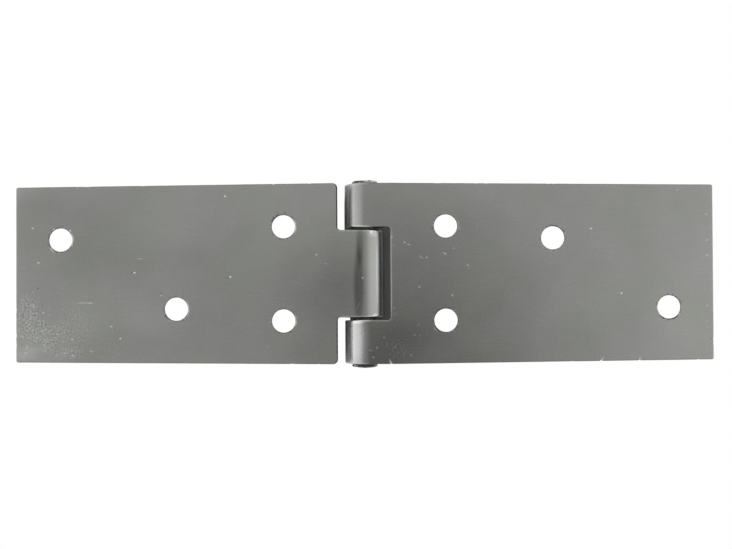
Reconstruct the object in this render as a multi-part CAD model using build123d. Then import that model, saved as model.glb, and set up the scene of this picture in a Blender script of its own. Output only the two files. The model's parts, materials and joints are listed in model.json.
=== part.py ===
"""A strap hinge in bare steel sheet, lying open and flat.

Two leaves are punched from the same sheet, and each is rolled round the pin at its inner end. One leaf carries a
single knuckle, on a tongue. The other carries two, one each side of the notch that the tongue works in. The pin
runs through all three knuckles, and is hammered over at both ends against the outer two.

The pin lies along Y, the leaves reach out along X, and Z is up. The outer face of each leaf is flush with the top
of the knuckles, so the knuckles hang below the leaves. The origin is on the surface that the knuckles rest on,
below the middle of the pin. All sizes are in millimetres.
"""

import os
from math import asin, cos, degrees, sin

from build123d import *

# Sheet that both leaves are punched from.
sheet = 2.5
leaf_width = 50.8  # across the knuckles, as far as the shoulders
leaf_reach = 97.5  # from the pin's axis to the outer end
edge_taper = 0.9  # how far each long edge comes in, from the shoulders to the outer end
edge_bevel = 0.35  # where the punch turned the edge down, round the outer face
end_corner = 0.6
shoulder_corner = 1.4
notch_corner = 0.8

# Pin, and the knuckles rolled round it.
pin_diameter = 6.0
running_clearance = 0.05  # all round the pin
seam_gap = 0.15  # between the end of the roll and the underside of its own leaf
outer_knuckle = 12.4  # length along the pin of each of the outer two
knuckle_gap = 0.75  # between two neighbouring knuckles, along the pin
shoulder_gap = 2.0  # from an outer knuckle to the shoulder of the other leaf
notch_gap = 1.65  # from the middle knuckle to the bottom of the notch

# Hammered heads of the pin.
head_overhang = 0.6  # past the pin's own surface
head_rim = 0.35  # height of the straight part, before the dome
dome_height = 0.75

# Fixing holes of one leaf: a pair abreast near the pin, and two staggered ones further out.
hole_diameter = 6.5
hole_bevel = 0.45  # where the punch turned the rim down, on the outer face
pair_reach = 22.7  # from the pin's axis
pair_spacing = 26.4  # between the pair's middles
middle_hole_reach = 52.7  # from the pin's axis
end_hole_margin = 12.4  # from the leaf's outer end
stagger = 9.75  # of the outer two, each to its own side of the leaf's middle line

# Worked out from the sizes above.
pin_radius = pin_diameter / 2
bore_radius = pin_radius + running_clearance
knuckle_radius = bore_radius + sheet
axis_height = knuckle_radius
outer_face = axis_height + knuckle_radius
half_width = leaf_width / 2
end_width = leaf_width - 2 * edge_taper
notch_width = leaf_width - 2 * outer_knuckle
tongue_width = notch_width - 2 * knuckle_gap
shoulder_reach = knuckle_radius + shoulder_gap
notch_reach = knuckle_radius + notch_gap
hole_places = [
    (pair_reach, pair_spacing / 2),
    (pair_reach, -pair_spacing / 2),
    (middle_hole_reach, stagger),
    (leaf_reach - end_hole_margin, -stagger),
]

overshoot = 1.0  # how far a cutting shape runs past what it cuts
tolerance = 1e-3


def rolled_strip():
    """The full width of sheet with its inner end rolled round the pin, before anything is punched out of it."""
    # The roll stops where the outer corner of its end comes up under the leaf itself.
    end_angle = asin((bore_radius - seam_gap) / knuckle_radius)
    turn = 270 + degrees(end_angle)
    end_face = [(radius * cos(end_angle), radius * sin(end_angle)) for radius in (bore_radius, knuckle_radius)]
    section = make_face(
        [
            Line((leaf_reach, knuckle_radius), (0, knuckle_radius)),
            CenterArc((0, 0), knuckle_radius, 90, turn),
            Line(*end_face),
            CenterArc((0, 0), bore_radius, 90, turn),
            Line((0, bore_radius), (leaf_reach, bore_radius)),
            Line((leaf_reach, bore_radius), (leaf_reach, knuckle_radius)),
        ]
    )
    across_pin = Plane(origin=(0, 0, axis_height), x_dir=(1, 0, 0), z_dir=(0, -1, 0))
    return extrude(across_pin * section, amount=half_width, both=True)


def slab(x_from, x_to, width):
    """A rectangle centred across the leaf, between two distances from the pin's axis."""
    return Pos((x_from + x_to) / 2, 0) * Rectangle(x_to - x_from, width)


def tapered_slab(x_from):
    """The leaf's full width from x_from outwards: even as far as the shoulders, and tapering from there."""
    half_end = end_width / 2
    corners = [
        (x_from, -half_width),
        (shoulder_reach, -half_width),
        (leaf_reach, -half_end),
        (leaf_reach, half_end),
        (shoulder_reach, half_width),
        (x_from, half_width),
    ]
    return make_face(Polyline(*corners, close=True))


def round_corners(plan, reach, width, radius):
    """The plan with the two corners rounded that lie this far from the pin's axis and this far apart."""
    corners = [plan.vertices().sort_by_distance((reach, side * width / 2, 0))[0] for side in (-1, 1)]
    return fillet(corners, radius)


def one_knuckle_plan():
    """Plan of the leaf whose tongue, between two shoulders, is rolled into the middle knuckle."""
    roll_end = -knuckle_radius - overshoot
    beside_tongue = slab(roll_end, shoulder_reach, leaf_width) - slab(roll_end, shoulder_reach, tongue_width)
    plan = tapered_slab(roll_end) - beside_tongue
    plan = round_corners(plan, leaf_reach, end_width, end_corner)
    plan = round_corners(plan, shoulder_reach, leaf_width, shoulder_corner)
    return round_corners(plan, shoulder_reach, tongue_width, notch_corner)


def two_knuckle_plan():
    """Plan of the leaf with the outer two knuckles, and the notch between them that takes the tongue."""
    roll_end = -knuckle_radius - overshoot
    plan = tapered_slab(roll_end) - slab(roll_end, notch_reach, notch_width)
    plan = round_corners(plan, leaf_reach, end_width, end_corner)
    return round_corners(plan, notch_reach, notch_width, notch_corner)


def is_punched_edge(edge):
    """True for an edge that runs round the outer face of the sheet, on the flat or round a knuckle's end."""
    if edge.geom_type == GeomType.CIRCLE and abs(edge.radius - knuckle_radius) < tolerance:
        return True
    box = edge.bounding_box()
    on_top = box.min.Z > outer_face - tolerance
    where_roll_starts = abs(box.min.X) < tolerance and abs(box.max.X) < tolerance
    return on_top and not where_roll_starts


def leaf(plan):
    """One leaf, reaching out along +X: rolled, cut to its plan, and pierced for its fixings."""
    body = rolled_strip() & extrude(plan, amount=outer_face + overshoot)
    body = chamfer(body.edges().filter_by(is_punched_edge), edge_bevel)
    for x, y in hole_places:
        body -= Pos(x, y, outer_face) * Cylinder(hole_diameter / 2, 2 * (sheet + overshoot))
    on_top = body.edges().filter_by_position(Axis.Z, outer_face - tolerance, outer_face + tolerance)
    circles = on_top.filter_by(GeomType.CIRCLE)
    return chamfer(circles.filter_by(lambda rim: abs(rim.radius - hole_diameter / 2) < tolerance), hole_bevel)


def hinge_pin():
    """The pin: each end is hammered over into a low dome with a straight rim, seated on the knuckle's end."""
    head_radius = pin_radius + head_overhang
    rim_top = half_width + head_rim
    dome_top = rim_top + dome_height
    section = make_face(
        [
            Line((0, 0), (pin_radius, 0)),
            Line((pin_radius, 0), (pin_radius, half_width)),
            Line((pin_radius, half_width), (head_radius, half_width)),
            Line((head_radius, half_width), (head_radius, rim_top)),
            TangentArc((0, dome_top), (head_radius, rim_top), tangent=(1, 0)),
            Line((0, dome_top), (0, 0)),
        ]
    )
    half_pin = revolve(section, Axis.Y)
    return Pos(0, 0, axis_height) * (half_pin + mirror(half_pin, Plane.XZ))


pieces = {
    "one_knuckle_leaf": Rot(0, 0, 180) * leaf(one_knuckle_plan()),
    "two_knuckle_leaf": leaf(two_knuckle_plan()),
    "hinge_pin": hinge_pin(),
}

os.makedirs("parts", exist_ok=True)
for name, piece in pieces.items():
    export_step(piece, f"parts/{name}.step")
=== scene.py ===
"""The looks of a strap hinge in bare rolled steel, built round its CAD frame.

Each leaf is a sheet worked out flat, in the sheet's own coordinates: s along it from where the roll starts,
y across it, and depth below its outer face. Its rims are carried down through the sheet as the punch leaves
them, its faces are filled between the rims, and the whole is then rolled round the pin. The pin is a turned
shape with hammered ends.
"""

import json
from functools import partial
from math import cos, radians, sin, tau

import bpy
import numpy as np
from bpy.props import FloatProperty, FloatVectorProperty, PointerProperty
from mathutils.geometry import delaunay_2d_cdt
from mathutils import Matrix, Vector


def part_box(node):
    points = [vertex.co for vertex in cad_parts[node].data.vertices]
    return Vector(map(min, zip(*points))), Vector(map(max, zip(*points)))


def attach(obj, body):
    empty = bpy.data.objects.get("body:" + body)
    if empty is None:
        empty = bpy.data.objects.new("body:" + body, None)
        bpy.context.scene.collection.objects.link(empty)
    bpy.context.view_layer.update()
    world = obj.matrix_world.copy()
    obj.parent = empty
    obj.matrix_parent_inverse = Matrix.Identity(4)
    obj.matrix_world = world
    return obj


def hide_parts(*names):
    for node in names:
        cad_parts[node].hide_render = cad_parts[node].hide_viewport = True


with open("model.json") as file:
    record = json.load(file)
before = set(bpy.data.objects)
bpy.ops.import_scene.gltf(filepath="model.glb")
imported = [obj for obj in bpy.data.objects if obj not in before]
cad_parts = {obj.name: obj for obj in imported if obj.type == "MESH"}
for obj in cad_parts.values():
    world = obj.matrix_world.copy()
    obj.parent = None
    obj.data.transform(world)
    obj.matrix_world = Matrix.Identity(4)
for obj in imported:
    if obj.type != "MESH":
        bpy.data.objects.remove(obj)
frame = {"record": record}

bl_info = {
    "name": "Strap hinge",
    "version": (1, 0, 0),
    "blender": (4, 5, 0),
    "location": "3D View > Sidebar > Strap Hinge",
    "description": "Builds the leaves, the pin and the stage of a strap hinge round its CAD frame",
    "category": "Add Mesh",
}

mm = 0.001

# What the CAD frame says: the knuckles lie on the floor, and their tops are flush with the leaves.
leaf_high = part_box("two_knuckle_leaf")[1]
pin_low, pin_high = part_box("hinge_pin")
outer_face = leaf_high.z
axis_height = outer_face / 2
knuckle_radius = axis_height
leaf_reach = leaf_high.x
half_width = leaf_high.y
head_radius = (pin_high.x - pin_low.x) / 2
head_top = pin_high.y

# How finely the meshes are divided: along rims, over the flat and the roll, and round corners and the pin.
rim_step = 0.33 * mm
flat_step = 1.0 * mm
roll_step = 0.35 * mm
corner_steps = 28
pin_steps = 120

# How far a rim's rings reach into the outer and the inner face.
outer_margin = 1.6 * mm
inner_margin = 0.5 * mm

# How far the knuckles' outer ends draw in at the roll, and the corner radii that no property sets.
drawn_in = 0.4 * mm
roll_corner = 0.3 * mm
shoulder_bend = 20 * mm
least_corner = 0.02 * mm


def hole_places(leaf):
    """The middles of one leaf's fixing holes, in the CAD frame, from the openings that the record states."""
    boxes = [o["box_m"] for o in frame["record"]["physics"]["openings"] if o["name"].startswith(leaf)]
    return [((low[0] + high[0]) / 2, (low[1] + high[1]) / 2) for low, high in boxes]


class SheetLook(bpy.types.PropertyGroup):
    """Sizes and colours of the sheet that both leaves are punched from."""

    sheet: FloatProperty(
        name="Sheet", description="Thickness of the sheet", default=2.5 * mm, unit="LENGTH"
    )
    outer_knuckle: FloatProperty(
        name="Outer knuckle", description="Length of each outer knuckle along the pin",
        default=12.4 * mm, unit="LENGTH",
    )
    edge_taper: FloatProperty(
        name="Edge taper", description="How far each long edge comes in, from the shoulders to the outer end",
        default=0.9 * mm, unit="LENGTH",
    )
    knuckle_gap: FloatProperty(
        name="Knuckle gap", description="Gap between neighbouring knuckles",
        default=0.75 * mm, unit="LENGTH",
    )
    shoulder_gap: FloatProperty(
        name="Shoulder gap", description="From an outer knuckle to the shoulder",
        default=2.0 * mm, unit="LENGTH",
    )
    notch_gap: FloatProperty(
        name="Notch gap", description="From the middle knuckle to the notch",
        default=1.65 * mm, unit="LENGTH",
    )
    seam_gap: FloatProperty(
        name="Seam gap", description="Between the roll's end and its own leaf",
        default=0.15 * mm, unit="LENGTH",
    )
    hole_diameter: FloatProperty(
        name="Hole", description="Diameter of a fixing hole", default=6.5 * mm, unit="LENGTH"
    )
    end_corner: FloatProperty(
        name="End corner", description="Corner radius at the leaf's outer end",
        default=0.6 * mm, unit="LENGTH",
    )
    shoulder_corner: FloatProperty(
        name="Shoulder corner", description="Corner radius at the shoulders",
        default=1.4 * mm, unit="LENGTH",
    )
    notch_corner: FloatProperty(
        name="Notch corner", description="Corner radius in the notch and by the tongue",
        default=0.8 * mm, unit="LENGTH",
    )
    ripple: FloatProperty(
        name="Ripple", description="How far the flat of a leaf strays from true",
        default=0.022 * mm, unit="LENGTH",
    )
    dent_depth: FloatProperty(
        name="Dent depth", description="Depth of the strongest dents", default=0.06 * mm, unit="LENGTH"
    )
    steel: FloatVectorProperty(
        name="Steel", description="Bare sheet, dull", default=(0.365, 0.366, 0.357), subtype="COLOR"
    )
    olive: FloatVectorProperty(
        name="Olive film", description="Sheet under a thin film of oil",
        default=(0.352, 0.360, 0.332), subtype="COLOR",
    )
    rubbed: FloatVectorProperty(
        name="Rubbed steel", description="Dents, scratches and rubbed edges",
        default=(0.66, 0.66, 0.65), subtype="COLOR",
    )
    # Colour of the painted highlights, glints and reflection lines on the knuckles and rims, of the painted
    # light on walls by the knuckles, and of the brightest dents.
    highlight_and_burnish: FloatVectorProperty(
        name="Burnished steel", description="Crowns and rims of the knuckles",
        default=(0.86, 0.87, 0.88), subtype="COLOR",
    )
    sheared: FloatVectorProperty(
        name="Sheared steel", description="Walls of the punched edges and holes",
        default=(0.45, 0.45, 0.44), subtype="COLOR",
    )
    # Also the near-black of the painted shade along the punched rims, in the slots between the knuckles and
    # round dents, and of dark chips and dark dents.
    turned: FloatVectorProperty(
        name="Turned edge", description="Grime in the edge that the punch turned down",
        default=(0.03, 0.03, 0.03), subtype="COLOR",
    )


class PinLook(bpy.types.PropertyGroup):
    """Sizes and colours of the pin."""

    diameter: FloatProperty(
        name="Pin", description="Diameter of the pin", default=6 * mm, unit="LENGTH"
    )
    head_rim: FloatProperty(
        name="Head rim", description="Height of the straight part of a head",
        default=0.35 * mm, unit="LENGTH",
    )
    steel: FloatVectorProperty(
        name="Pin steel", description="Bare wire under its heads", default=(0.45, 0.45, 0.44), subtype="COLOR"
    )
    scale: FloatVectorProperty(
        name="Forge scale", description="Dark skin left between hammer marks",
        default=(0.035, 0.036, 0.034), subtype="COLOR",
    )


class StageLook(bpy.types.PropertyGroup):
    """The floor, the camera and the light round the hinge."""

    camera_height: FloatProperty(
        name="Camera height", description="Above the outer face of the leaves",
        default=700 * mm, unit="LENGTH",
    )
    lens: FloatProperty(name="Lens", description="Focal length in millimetres", default=123.07)
    tilt: FloatProperty(
        name="Tilt", description="How far the camera stands off the vertical, towards the near side",
        default=radians(1.75), subtype="ANGLE",
    )
    turn: FloatProperty(
        name="Turn", description="How far the hinge lies turned in the picture",
        default=radians(0.27), subtype="ANGLE",
    )
    floor_size: FloatProperty(name="Floor", description="Side of the floor", default=4.0, unit="LENGTH")
    light: FloatProperty(name="Light", description="Strength of the whole studio", default=1.0)


def cornered_rim(corners, radii, inset):
    """A closed outline with rounded corners, moved into the sheet by inset, as (n, 2) points.

    The corners go round with the sheet on their left. The corner between directions d1 and d2, with
    inward normals n1 and n2, moves by inset (n1 + n2) / (1 + n1 . n2). Its rounding is o - t r n1 cos a +
    r d1 sin a, where t is 1 for a left turn and -1 for a right one, the angle a runs from 0 to that of
    the turn, and the arc's middle o is t r n1 past the point where it starts. The radius r shrinks with
    the inset at a convex corner and grows at a concave one. How many points there are depends only on the
    outline, so that rims at different insets match point for point.
    """
    corners = np.array(corners, float)
    runs = np.roll(corners, -1, 0) - corners
    lengths = np.linalg.norm(runs, axis=1)
    out = runs / lengths[:, None]
    into = np.roll(out, 1, 0)
    out_normal = np.stack([-out[:, 1], out[:, 0]], 1)
    into_normal = np.roll(out_normal, 1, 0)
    across = into[:, 0] * out[:, 1] - into[:, 1] * out[:, 0]
    along = (into * out).sum(1)
    turns = np.abs(np.arctan2(across, along))
    side = np.sign(across)
    moved = corners + inset * (into_normal + out_normal) / (1 + (into_normal * out_normal).sum(1))[:, None]
    rounding = np.maximum(np.array(radii) - inset * side, least_corner)
    cut = (rounding * np.tan(turns / 2))[:, None]
    middle = moved - cut * into + (side * rounding)[:, None] * into_normal
    points = []
    for i, length in enumerate(lengths):
        j = (i + 1) % len(lengths)
        angle = np.linspace(0, turns[i], 2 + round(turns[i] / tau * corner_steps))[:, None]
        arc = middle[i] - side[i] * rounding[i] * into_normal[i] * np.cos(angle)
        arc = arc + rounding[i] * into[i] * np.sin(angle)
        start = moved[i] + cut[i] * out[i]
        end = moved[j] - cut[j] * out[i]
        share = np.linspace(0, 1, max(2, round(length / rim_step)))[1:-1, None]
        points += [arc, start + share * (end - start)]
    return np.concatenate(points)


def round_rim(middle, radius, inset):
    """A hole's rim, moved into the sheet by inset: a circle of radius plus inset, run round clockwise."""
    angle = np.linspace(0, -tau, round(tau * radius / rim_step), endpoint=False)
    return np.array(middle) + (radius + inset) * np.stack([np.cos(angle), np.sin(angle)], 1)


def carried_round(rim, profile):
    """A profile carried round a rim, as (points in s, y and depth, their distance from the rim, faces).

    Profile station k is an inset and a depth. Its ring is the rim at that inset, and rings k and k + 1 are
    joined by four-sided faces, point for point.
    """
    rings = [rim(inset) for inset, depth in profile]
    count = len(rings[0])
    depths = np.repeat([depth for inset, depth in profile], count)
    insets = np.repeat([inset for inset, depth in profile], count)
    points = np.column_stack([np.concatenate(rings), depths])
    index = np.arange(len(points)).reshape(-1, count)
    after = np.roll(index, -1, 1)
    faces = np.stack([index[:-1], index[1:], after[1:], after[:-1]], -1).reshape(-1, 4)
    return points, insets, faces


def inside(points, ring):
    """Which points lie inside a closed ring: a ray along s from them crosses it an odd number of times."""
    after = np.roll(ring, -1, 0)
    s, y = points[:, 0, None], points[:, 1, None]
    spans = (ring[:, 1] > y) != (after[:, 1] > y)
    rise = np.where(after[:, 1] == ring[:, 1], 1, after[:, 1] - ring[:, 1])
    crossing = ring[:, 0] + (y - ring[:, 1]) * (after[:, 0] - ring[:, 0]) / rise
    return (spans & (s < crossing)).sum(1) % 2 == 1


def in_sheet(points, rims):
    """Which points lie inside the first rim, the outline, and outside the others, the holes."""
    within = inside(points, rims[0])
    for rim in rims[1:]:
        within &= ~inside(points, rim)
    return within


def fill(rings, loose):
    """Triangles between rings, the outline first and then the holes, and loose points, as indices.

    They are the Delaunay triangles of all the points that keep the rings' sides, less those whose middles lie
    outside the sheet. The indices run through the rings in order, and then through the loose points.
    """
    points = np.concatenate(rings + [loose])
    sides = []
    start = 0
    for ring in rings:
        index = start + np.arange(len(ring))
        sides.append(np.stack([index, np.roll(index, -1)], 1))
        start += len(ring)
    scaled = points / mm
    found = delaunay_2d_cdt(scaled.tolist(), np.concatenate(sides).tolist(), [], 0, 1e-5, True)
    origin = np.array([source[0] for source in found[3]])
    triangles = origin[np.array(found[2])]
    return triangles[in_sheet(points[triangles].mean(1), rings)]


def to_nearest(points, rings):
    """Each point's distance from the nearest point of the rings, a few hundred points at a time."""
    rim = np.concatenate(rings)
    parts = np.array_split(points, max(1, len(points) // 500))
    return np.concatenate([np.sqrt(((part[:, None] - rim) ** 2).sum(2).min(1)) for part in parts])


def ripples(s, y):
    """From 0 to 1 over a leaf: five long waves across the sheet, at set angles and lengths, added up."""
    angles = np.array([0.3, 1.3, 2.2, 2.9, 0.9])
    lengths = np.array([61.0, 43.0, 29.0, 37.0, 19.0]) * mm
    phases = np.array([0.4, 2.1, 4.0, 5.2, 1.1])
    along = s[:, None] * np.cos(angles) + y[:, None] * np.sin(angles)
    waves = np.sin(tau * along / lengths + phases) * lengths
    return 0.5 + 0.5 * waves.sum(1) / lengths.sum()


def dent_shares(s, y, dents):
    """How deep each dent is at each point, from 0 to its own strength, as (points, dents).

    A dent is a groove: across it the share falls as exp(-(v / w) ** 2), and along it as
    exp(-(u / (h + w)) ** 4), where w is its half width and h its half length.
    """
    across = s[:, None] - dents[:, 0]
    up = y[:, None] - dents[:, 1]
    turn = np.radians(dents[:, 4])
    u = across * np.cos(turn) + up * np.sin(turn)
    v = up * np.cos(turn) - across * np.sin(turn)
    return dents[:, 5] * np.exp(-((v / dents[:, 3]) ** 2) - (u / (dents[:, 2] + dents[:, 3])) ** 4)


def points_round_dents(dents):
    """A fine grid of points over each dent, turned with it."""
    grids = []
    for s, y, half_length, half_width, turn, strength in dents:
        pitch = 0.5 * half_width
        u = np.arange(-half_length - 3 * half_width, half_length + 3 * half_width, pitch)
        v = np.arange(-2.5 * half_width, 2.5 * half_width + pitch / 2, pitch)
        u, v = (grid.ravel() for grid in np.meshgrid(u, v))
        c = np.cos(np.radians(turn))
        n = np.sin(np.radians(turn))
        grids.append(np.stack([s + u * c - v * n, y + u * n + v * c], 1))
    return np.concatenate(grids)


def loose_points(rims, roll_end, dents):
    """Points of the outer and of the inner face, clear of the rims' rings.

    Both have an even grid, coarse over the flat and finer over the roll, with room round each dent.
    The outer face has a fine grid over each dent as well.
    """
    across = np.arange(-half_width, half_width, flat_step)
    grids = [np.meshgrid(np.arange(0.0, leaf_reach, flat_step), across)]
    grids += [np.meshgrid(-np.arange(roll_step, -roll_end, roll_step), across)]
    grid = np.concatenate([np.stack([s.ravel(), y.ravel()], 1) for s, y in grids])
    widened = dents * np.array([1, 1, 1.2, 2.2, 1, 1])
    widened[:, 5] = 1
    grid = grid[dent_shares(grid[:, 0], grid[:, 1], widened).max(1) < 0.08]
    outer = np.concatenate([grid, points_round_dents(dents)])
    outer_gap = outer_margin + 0.2 * flat_step
    inner_gap = inner_margin + 0.4 * flat_step
    outer = outer[in_sheet(outer, rims) & (to_nearest(outer, rims) > outer_gap)]
    inner = grid[in_sheet(grid, rims) & (to_nearest(grid, rims) > inner_gap)]
    return outer, inner


def rolled(s, y, depth, sheet, slot):
    """The sheet rolled round the pin: past s = 0 it turns by -s over the knuckle's radius, less its depth.

    Its stretched outer skin draws in across the sheet, at the outer ends alone. There y loses the draw times
    (1 - depth / sheet) squared, rising smoothly over the first quarter turn, and evenly from slot to end.
    """
    turn = np.maximum(-s, 0) / knuckle_radius
    radius = knuckle_radius - depth
    x = np.maximum(s, 0) - radius * np.sin(turn)
    rise = np.clip(turn / (tau / 4), 0, 1)
    reach = np.clip((np.abs(y) - slot) / (half_width - slot), 0, 1)
    draw = drawn_in * rise * rise * (3 - 2 * rise) * reach * np.clip(1 - depth / sheet, 0, 1) ** 2
    return np.stack([x, y - np.sign(y) * draw, axis_height + radius * np.cos(turn)], 1)


def new_piece(name, points, faces, body, node, material):
    """Puts points and faces into a new mesh object, parents it to the body that it moves with, and hides the
    CAD node that it replaces.
    """
    mesh = bpy.data.meshes.new(name)
    mesh.from_pydata(points.tolist(), [], [face.tolist() for group in faces for face in group])
    mesh.shade_smooth()
    mesh.materials.append(material)
    piece = bpy.data.objects.new(name, mesh)
    bpy.context.scene.collection.objects.link(piece)
    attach(piece, body)
    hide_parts(node)
    return piece


def new_attribute(mesh, name, values):
    """Keeps one number for each point of a mesh."""
    mesh.attributes.new(name, "FLOAT", "POINT").data.foreach_set("value", values.astype(np.float32))


def new_map(mesh, flat):
    """The mesh's map is the flat sheet itself, with one unit to the millimetre."""
    corners = np.empty(len(mesh.loops), int)
    mesh.loops.foreach_get("vertex_index", corners)
    places = flat[corners] / mm
    mesh.uv_layers.new(name="flat sheet").data.foreach_set("uv", places.ravel().astype(np.float32))


def edge_profile(roll, drop, break_out, sheet):
    """(inset, depth) stations from the outer face, over the edge that the punch turned, to the inner face.

    The turned edge is a quarter of an ellipse, roll wide and drop deep. Below it the cut is straight, and
    then breaks out into the sheet.
    """
    angle = np.linspace(0, tau / 4, 6)
    turned = np.stack([roll * (1 - np.sin(angle)), drop * (1 - np.cos(angle))], 1)
    flat = [(outer_margin, 0), (1.0 * mm, 0), (roll + 0.18 * mm, 0)]
    cut = [
        (0, 0.36 * sheet),
        (0.25 * break_out, 0.52 * sheet),
        (0.7 * break_out, 0.8 * sheet),
        (break_out, sheet - 0.05 * mm),
        (break_out + 0.06 * mm, sheet),
        (break_out + inner_margin, sheet),
    ]
    return flat + [tuple(station) for station in turned] + cut


def nicked(rim, nicks, waviness):
    """The rim function with its points pushed into the sheet by a low wave, and by a dent at each nick.

    A nick pushes by its depth times exp(-(distance / width) ** 2). All pushes fade as
    exp(-(inset / fading) ** 2).
    """
    waves_round = np.array([7, 19, 43, 89])
    phases = np.array([0.5, 1.9, 3.3, 4.4])
    fading = 0.7 * mm

    def pushed(inset):
        ring = rim(inset)
        base = rim(0)
        along = np.roll(base, -1, 0) - np.roll(base, 1, 0)
        inward = np.stack([-along[:, 1], along[:, 0]], 1) / np.linalg.norm(along, axis=1)[:, None]
        path = np.cumsum(np.linalg.norm(np.roll(base, 1, 0) - base, axis=1))
        wave = np.sin(tau * path[:, None] / path[-1] * waves_round + phases).mean(1)
        push = waviness * (0.5 + 0.5 * wave)
        if len(nicks):
            away = ((base[:, None] - nicks[:, :2]) ** 2).sum(2)
            push = push + (nicks[:, 3] * np.exp(-away / nicks[:, 2] ** 2)).sum(1)
        fade = np.exp(-((inset / fading) ** 2))
        return ring + inward * (push * fade)[:, None]

    return pushed


def punched_leaf(look, outline, holes, dents, nicks):
    """One leaf along +X, as (points, face groups, places on the flat sheet, {attribute: values}).

    The outline's and the holes' rims are carried through the sheet, the outer and inner faces are filled
    between their first and last rings, and every point is then rolled round the pin.
    """
    sheet = look.sheet
    corners, radii = outline
    edge = edge_profile(roll=0.36 * mm, drop=0.34 * mm, break_out=0.05 * mm, sheet=sheet)
    punched = edge_profile(roll=0.42 * mm, drop=0.36 * mm, break_out=0.12 * mm, sheet=sheet)
    hole_radius = look.hole_diameter / 2
    outer_rim = nicked(partial(cornered_rim, corners, radii), nicks, waviness=0.03 * mm)
    hole_rims = [nicked(partial(round_rim, place, hole_radius), [], waviness=0.02 * mm) for place in holes]
    swept = [carried_round(outer_rim, edge)] + [carried_round(rim, punched) for rim in hole_rims]
    true_rims = [rim(0) for rim in [outer_rim] + hole_rims]
    roll_end = min(corner[0] for corner in corners)
    outer_loose, inner_loose = loose_points(true_rims, roll_end, dents)

    points = [part[0] for part in swept]
    points += [np.column_stack([outer_loose, np.zeros(len(outer_loose))])]
    points += [np.column_stack([inner_loose, np.full(len(inner_loose), sheet)])]
    points = np.concatenate(points)
    insets = [part[1] for part in swept]
    insets += [to_nearest(outer_loose, true_rims), to_nearest(inner_loose, true_rims)]
    by_hole = [np.full(len(part[0]), float(number > 0)) for number, part in enumerate(swept)]
    by_hole += [np.zeros(len(outer_loose) + len(inner_loose))]

    counts = [len(part[0]) // len(edge) for part in swept]
    starts = np.cumsum([0] + [len(part[0]) for part in swept])
    first_rings = [start + np.arange(count) for start, count in zip(starts, counts)]
    last_rings = [after - count + np.arange(count) for after, count in zip(starts[1:], counts)]

    def filled(rings, start, loose):
        index = np.concatenate(rings + [start + np.arange(len(loose))])
        return index[fill([points[ring, :2] for ring in rings], loose)]

    outer_fill = filled(first_rings, starts[-1], outer_loose)
    inner_fill = filled(last_rings, starts[-1] + len(outer_loose), inner_loose)[:, ::-1]
    walls = [part[2] + start for part, start in zip(swept, starts)]

    s, y, depth = points.T
    near_outer_face = np.exp(-((depth / (0.5 * mm)) ** 2))
    dented = np.clip(dent_shares(s, y, dents).sum(1), -1, 2) * near_outer_face
    off_roll = np.clip(s / (12 * mm), 0, 1)
    sink = look.ripple * ripples(s, y) * off_roll + look.dent_depth * np.abs(dented)
    rolled_points = rolled(s, y, depth + sink, sheet, half_width - look.outer_knuckle)
    attributes = {
        "rim_distance": np.concatenate(insets) / mm,
        "by_hole": np.concatenate(by_hole),
        "depth": depth / mm,
        "dent": dented,
        "knuckle": np.clip((1.5 * mm - s) / (3 * mm), 0, 1),
    }
    return rolled_points, walls + [outer_fill, inner_fill], points[:, :2], attributes


def roll_length(look):
    """How much sheet the roll takes along its outer face: it ends a seam gap below its leaf's underside."""
    bore = knuckle_radius - look.sheet
    end_angle = np.arcsin((bore - look.seam_gap) / knuckle_radius)
    return knuckle_radius * (0.75 * tau + end_angle)


def one_knuckle_outline(look):
    """Corners and corner radii of the leaf whose tongue is rolled into the middle knuckle."""
    tongue = half_width - look.outer_knuckle - look.knuckle_gap
    shoulder = knuckle_radius + look.shoulder_gap
    half_end = half_width - look.edge_taper
    end = -roll_length(look)
    corners = [
        (leaf_reach, -half_end), (leaf_reach, half_end), (shoulder, half_width), (shoulder, tongue),
        (end, tongue), (end, -tongue), (shoulder, -tongue), (shoulder, -half_width),
    ]
    radii = [look.end_corner, look.end_corner, look.shoulder_corner, look.notch_corner]
    radii += [roll_corner, roll_corner, look.notch_corner, look.shoulder_corner]
    return corners, radii


def two_knuckle_outline(look):
    """Corners and corner radii of the leaf with the notch and an outer knuckle each side of it."""
    notch = half_width - look.outer_knuckle
    bottom = knuckle_radius + look.notch_gap
    shoulder = knuckle_radius + look.shoulder_gap
    half_end = half_width - look.edge_taper
    end = -roll_length(look)
    corners = [
        (leaf_reach, -half_end), (leaf_reach, half_end), (shoulder, half_width), (end, half_width),
        (end, notch), (bottom, notch), (bottom, -notch), (end, -notch),
        (end, -half_width), (shoulder, -half_width),
    ]
    radii = [look.end_corner, look.end_corner, shoulder_bend, roll_corner, roll_corner]
    radii += [look.notch_corner, look.notch_corner, roll_corner, roll_corner, shoulder_bend]
    return corners, radii


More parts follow.
